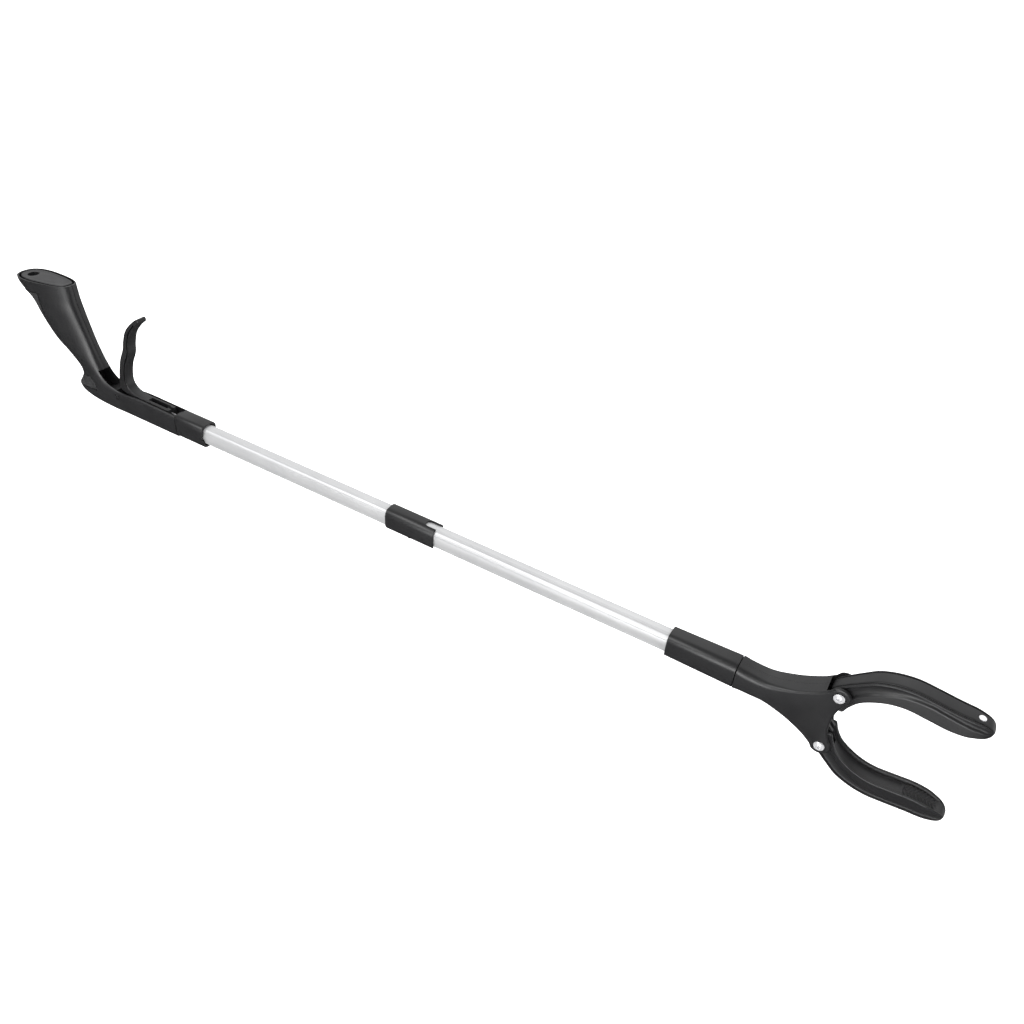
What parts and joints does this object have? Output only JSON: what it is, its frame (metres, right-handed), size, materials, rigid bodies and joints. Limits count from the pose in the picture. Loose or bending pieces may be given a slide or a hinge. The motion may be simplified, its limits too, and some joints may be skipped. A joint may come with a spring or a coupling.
{
  "type": "folding reacher grabber",
  "caption": "Folding hand reacher: pistol grip with finger trigger, flat-sided aluminium tube, turning triangular head and curved channel jaws with magnet tips.",
  "frame": {"origin": "centre of the bounding box's bottom: on the line of the shaft in X and Y, at the lowest point of the lower jaw; the fold pin is at x = 0.003", "axes": "+X along the shaft towards the jaws, +Z the way the grip stands, +Y across"},
  "size_m": [0.813, 0.026, 0.1425],
  "materials": {
    "black_plastic": "satin black moulded plastic",
    "soft_black": "soft black rubber-like plastic",
    "aluminium": "bright satin anodised",
    "steel": "bright plated steel"
  },
  "bodies": {
    "handle": {"grip_shell_near": "black_plastic", "grip_shell_far": "black_plastic", "backstrap": "soft_black", "heel_pad_near": "soft_black", "heel_pad_far": "soft_black", "end_cap": "black_plastic", "housing_screw_grip": "steel", "housing_screw_heel": "steel", "housing_screw_front": "steel", "trigger_pin": "steel", "trigger_spring": "steel", "handle_collar": "black_plastic", "rear_tube": "aluminium", "rear_plug": "black_plastic", "fold_sleeve": "black_plastic", "fold_pin": "steel"},
    "trigger": {"trigger": "black_plastic"},
    "rear_wire": {"pull_wire_rear": "steel", "wire_ferrule": "steel"},
    "front_arm": {"front_tube": "aluminium", "front_plug": "black_plastic", "head_collar": "black_plastic"},
    "front_wire": {"pull_wire_front": "steel"},
    "head": {"head_shell_near": "black_plastic", "head_shell_far": "black_plastic", "swivel_spigot": "black_plastic", "jaw_screw_upper": "steel", "jaw_screw_lower": "steel", "jaw_nut_upper": "steel", "jaw_nut_lower": "steel", "puller_spring": "steel"},
    "puller": {"puller": "black_plastic"},
    "jaw_upper": {"jaw_upper": "black_plastic", "jaw_pad_upper": "soft_black", "tip_magnet_upper": "steel", "crank_pin_upper": "steel"},
    "jaw_lower": {"jaw_lower": "black_plastic", "jaw_pad_lower": "soft_black", "tip_magnet_lower": "steel", "crank_pin_lower": "steel"}
  },
  "joints": [
    {"name": "trigger_squeeze", "type": "hinge", "parent": "handle", "child": "trigger", "pos_m": [-0.249, 0, 0.0436], "axis": [0, -1, 0], "range_deg": [0, 17.9]},
    {"name": "rear_wire_pull", "type": "slide", "parent": "handle", "child": "rear_wire", "axis": [-1, 0, 0], "range_m": [0, 0.00318]},
    {"name": "tube_fold", "type": "hinge", "parent": "handle", "child": "front_arm", "pos_m": [0.003, 0, 0.0396], "axis": [0, 1, 0], "range_deg": [0, 170]},
    {"name": "front_wire_pull", "type": "slide", "parent": "front_arm", "child": "front_wire", "axis": [-1, 0, 0], "range_m": [0, 0.00318]},
    {"name": "head_swivel", "type": "hinge", "parent": "front_arm", "child": "head", "pos_m": [0.2627, 0, 0.0486], "axis": [1, 0, 0], "range_deg": [-90, 90]},
    {"name": "puller_slide", "type": "slide", "parent": "head", "child": "puller", "axis": [-1, 0, 0], "range_m": [0, 0.00318]},
    {"name": "jaw_upper_close", "type": "hinge", "parent": "head", "child": "jaw_upper", "pos_m": [0.3249, 0, 0.0711], "axis": [0, 1, 0], "range_deg": [0, 25.9]},
    {"name": "jaw_lower_close", "type": "hinge", "parent": "head", "child": "jaw_lower", "pos_m": [0.3249, 0, 0.0261], "axis": [0, -1, 0], "range_deg": [0, 25.9]}
  ],
  "couplings": [
    {"joint": "rear_wire_pull", "follows": "trigger_squeeze", "m_per_rad": 0.010004},
    {"joint": "front_wire_pull", "follows": "trigger_squeeze", "m_per_rad": 0.010004},
    {"joint": "puller_slide", "follows": "trigger_squeeze", "m_per_rad": 0.010004},
    {"joint": "jaw_upper_close", "follows": "trigger_squeeze", "ratio": 1.4413},
    {"joint": "jaw_lower_close", "follows": "trigger_squeeze", "ratio": 1.4413}
  ]
}
